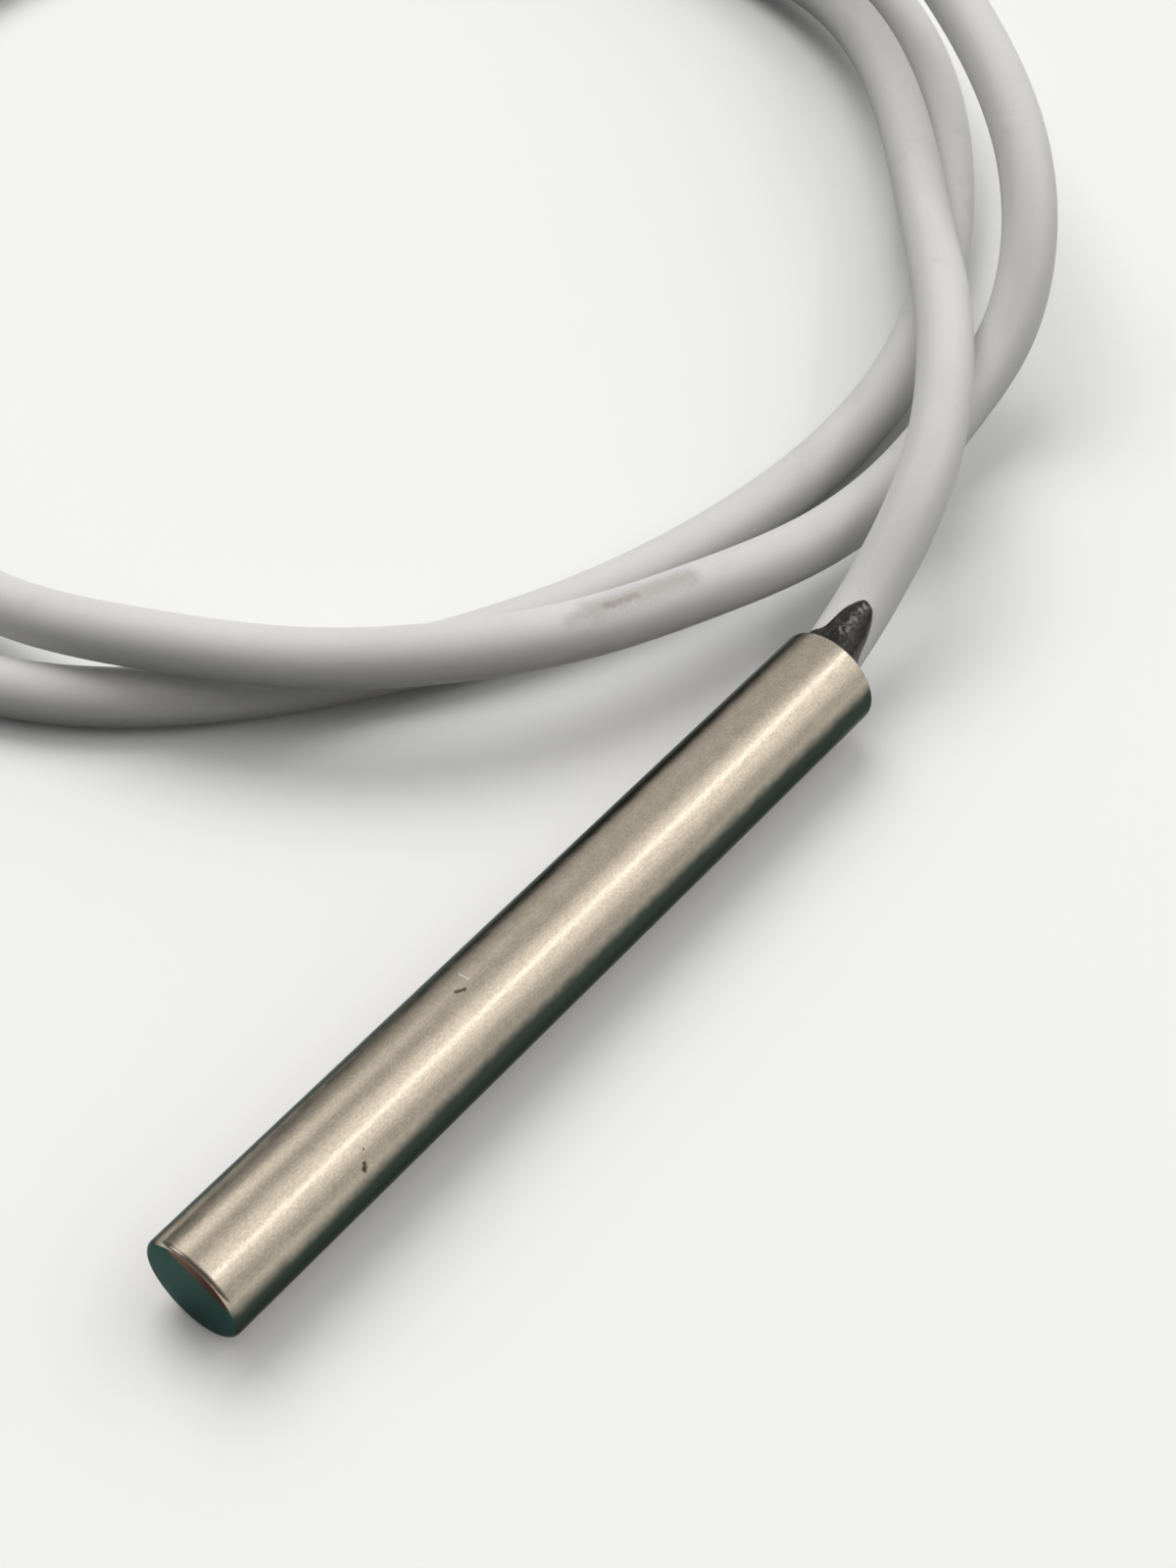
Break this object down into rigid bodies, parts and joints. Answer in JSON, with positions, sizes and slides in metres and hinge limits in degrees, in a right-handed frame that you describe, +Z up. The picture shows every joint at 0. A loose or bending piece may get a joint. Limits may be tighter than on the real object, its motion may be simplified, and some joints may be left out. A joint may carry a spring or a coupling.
{
  "type": "high-limit temperature sensor",
  "caption": "Closed steel probe tube with a sensing bead in its tip, potted onto a round grey two-core lead that lies in a loose ring and ends in a small plug.",
  "frame": {"origin": "on the surface the probe lies on, under the middle of the probe tube", "axes": "+X along the probe from its closed tip to its mouth, where the lead comes out; +Z up; +Y towards the ring of the lead"},
  "size_m": [0.1117, 0.0964, 0.0131],
  "materials": {
    "steel": "satin, fine drawn grain along the tube",
    "grey_jacket": "matte",
    "potting": "glossy cast epoxy",
    "white_paste": "matte heat-transfer compound",
    "bead_epoxy": "glossy dipped bead",
    "nickel": "plain drawn wire",
    "clear_sleeve": "milky",
    "tinned_copper": "tinned",
    "bare_copper": "bright strands",
    "black_sleeve": "matte shrunk sleeve",
    "red_core": "semi-gloss",
    "white_core": "semi-gloss",
    "white_nylon": "moulded, natural"
  },
  "bodies": {
    "root": {"probe_tube": "steel", "tip_compound": "white_paste", "sensing_bead": "bead_epoxy", "bead_lead_a": "nickel", "bead_lead_b": "nickel", "lead_sleeve_a": "clear_sleeve", "lead_sleeve_b": "clear_sleeve", "splice_barrel_a": "tinned_copper", "splice_barrel_b": "tinned_copper", "splice_sleeve_a": "black_sleeve", "splice_sleeve_b": "black_sleeve", "conductor_a": "bare_copper", "conductor_b": "bare_copper", "core_a": "red_core", "core_b": "white_core", "cable": "grey_jacket", "epoxy_seal": "potting", "end_sleeve": "black_sleeve", "tail_core_a": "red_core", "tail_core_b": "white_core", "plug_housing": "white_nylon", "plug_terminal_a": "tinned_copper", "plug_terminal_b": "tinned_copper"}
  },
  "joints": []
}
